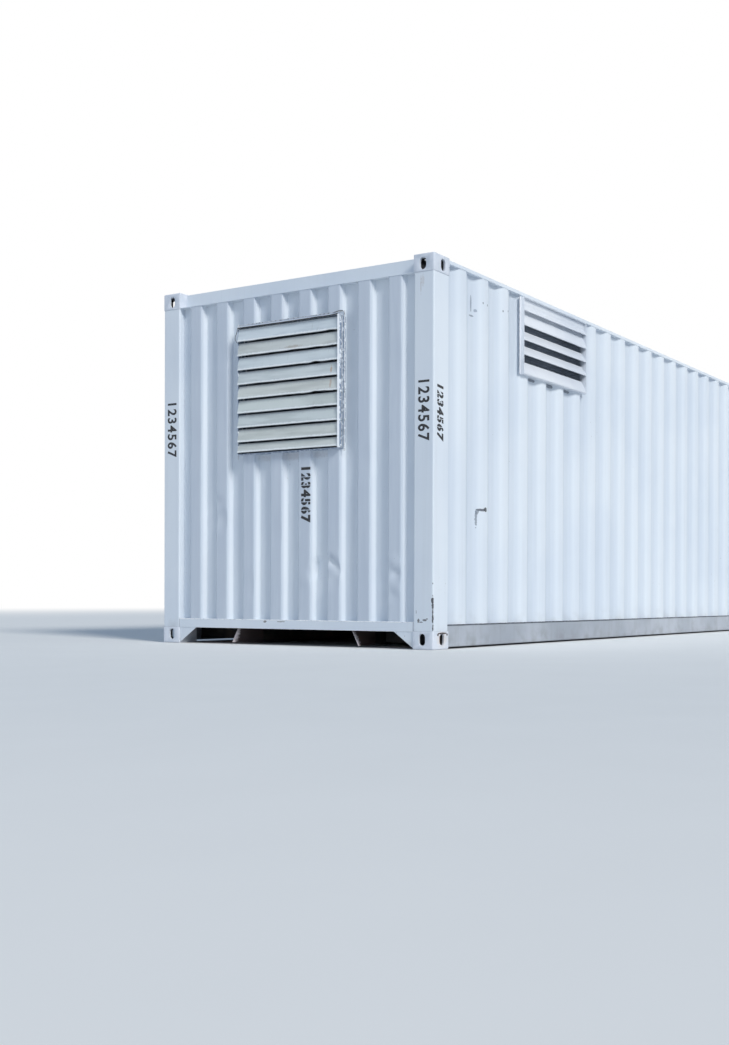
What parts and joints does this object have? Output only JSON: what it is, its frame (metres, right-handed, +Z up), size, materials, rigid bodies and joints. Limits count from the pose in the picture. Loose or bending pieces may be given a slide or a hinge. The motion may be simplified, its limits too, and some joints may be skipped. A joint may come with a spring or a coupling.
{
  "type": "louvred shipping container",
  "caption": "Long steel freight container with corrugated walls, corner castings, gooseneck tunnel, closed cargo doors and louvred ventilators, used as a workshop shell.",
  "frame": {"origin": "centre of the four bottom casting apertures, at ground level", "axes": "+X along the length towards the cargo doors, the louvred front end at -X; +Y to the plain long side; +Z up"},
  "size_m": [12.23, 2.46, 2.591],
  "materials": {
    "white_paint": "sprayed enamel, weathered",
    "underframe_paint": "dull bituminous coat",
    "louvre_metal": "coated sheet, satin",
    "galvanised_steel": "galvanised and overpainted",
    "plywood": "worn plywood",
    "rubber": "matt"
  },
  "bodies": {
    "root": {"bottom_castings_front": "white_paint", "bottom_castings_rear": "white_paint", "bottom_rail_left": "white_paint", "bottom_rail_right": "white_paint", "cam_keepers": "galvanised_steel", "cross_members": "underframe_paint", "door_frame_left": "white_paint", "door_frame_right": "white_paint", "door_gasket_left": "rubber", "door_gasket_right": "rubber", "door_hinges": "galvanised_steel", "door_panel_left": "white_paint", "door_panel_right": "white_paint", "end_louvre_blades": "louvre_metal", "end_louvre_frame": "louvre_metal", "floor": "plywood", "front_bottom_rail": "white_paint", "front_gussets": "white_paint", "front_post_left": "white_paint", "front_post_right": "white_paint", "front_top_rail": "white_paint", "front_wall": "white_paint", "hinge_lugs": "white_paint", "left_wall": "white_paint", "lock_handles": "galvanised_steel", "lock_rods": "galvanised_steel", "outriggers": "underframe_paint", "rear_header": "white_paint", "rear_post_left": "white_paint", "rear_post_right": "white_paint", "rear_sill": "white_paint", "right_wall": "white_paint", "rod_brackets": "galvanised_steel", "roof": "white_paint", "roof_corner_plates": "white_paint", "side_louvre_blades": "white_paint", "side_louvre_frame": "white_paint", "top_castings_front": "white_paint", "top_castings_rear": "white_paint", "top_rail_left": "white_paint", "top_rail_right": "white_paint", "tunnel_beams": "underframe_paint", "tunnel_bolster": "underframe_paint", "tunnel_cheeks": "white_paint", "tunnel_plate": "underframe_paint"}
  },
  "joints": []
}
